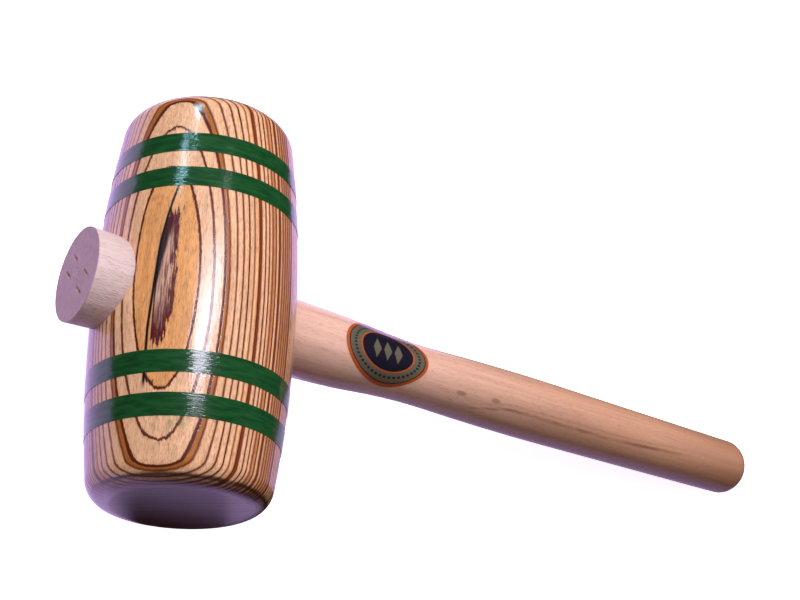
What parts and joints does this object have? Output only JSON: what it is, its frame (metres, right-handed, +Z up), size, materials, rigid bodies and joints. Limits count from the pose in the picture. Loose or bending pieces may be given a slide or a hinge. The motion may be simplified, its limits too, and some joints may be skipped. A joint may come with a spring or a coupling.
{
  "type": "round wooden mallet",
  "caption": "Round wooden mallet with a laminated barrel head, a tapered turned handle driven through it, painted green bands and a plain oval label.",
  "frame": {"origin": "on the floor, under the middle of the mallet's bounding box, with the mallet lying at rest on its barrel and on the butt of its handle", "axes": "+X horizontal, from the head towards the handle's butt; +Y along the head's axis, from one striking face to the other; +Z up"},
  "size_m": [0.3476, 0.155, 0.076],
  "materials": {
    "light_ply_wood": "clear gloss lacquer over long-grain beech veneer",
    "dark_ply_wood": "clear gloss lacquer over dark cross-grain veneer",
    "handle_wood": "satin, fine straight grain",
    "green_paint": "gloss enamel film",
    "label_print": "printed satin foil"
  },
  "bodies": {
    "root": {"dark_ply_1": "dark_ply_wood", "dark_ply_2": "dark_ply_wood", "dark_ply_3": "dark_ply_wood", "dark_ply_4": "dark_ply_wood", "dark_ply_5": "dark_ply_wood", "dark_ply_6": "dark_ply_wood", "dark_ply_7": "dark_ply_wood", "dark_ply_8": "dark_ply_wood", "dark_ply_9": "dark_ply_wood", "handle": "handle_wood", "inner_band_left": "green_paint", "inner_band_right": "green_paint", "outer_band_left": "green_paint", "outer_band_right": "green_paint", "oval_label": "label_print", "ply_01": "light_ply_wood", "ply_02": "light_ply_wood", "ply_03": "light_ply_wood", "ply_04": "light_ply_wood", "ply_05": "light_ply_wood", "ply_06": "light_ply_wood", "ply_07": "light_ply_wood", "ply_08": "light_ply_wood", "ply_09": "light_ply_wood", "ply_10": "light_ply_wood", "ply_11": "light_ply_wood", "ply_12": "light_ply_wood", "ply_13": "light_ply_wood", "ply_14": "light_ply_wood", "ply_15": "light_ply_wood", "ply_16": "light_ply_wood", "ply_17": "light_ply_wood", "ply_18": "light_ply_wood", "ply_19": "light_ply_wood", "ply_20": "light_ply_wood", "ply_21": "light_ply_wood", "ply_22": "light_ply_wood", "ply_23": "light_ply_wood", "ply_24": "light_ply_wood", "ply_25": "light_ply_wood", "ply_26": "light_ply_wood", "ply_27": "light_ply_wood", "ply_28": "light_ply_wood", "ply_29": "light_ply_wood", "ply_30": "light_ply_wood", "ply_31": "light_ply_wood", "ply_32": "light_ply_wood", "ply_33": "light_ply_wood", "ply_34": "light_ply_wood", "ply_35": "light_ply_wood", "ply_36": "light_ply_wood", "ply_37": "light_ply_wood", "ply_38": "light_ply_wood", "ply_39": "light_ply_wood", "ply_40": "light_ply_wood", "ply_41": "light_ply_wood", "ply_42": "light_ply_wood", "ply_43": "light_ply_wood", "ply_44": "light_ply_wood", "ply_45": "light_ply_wood"}
  },
  "joints": []
}
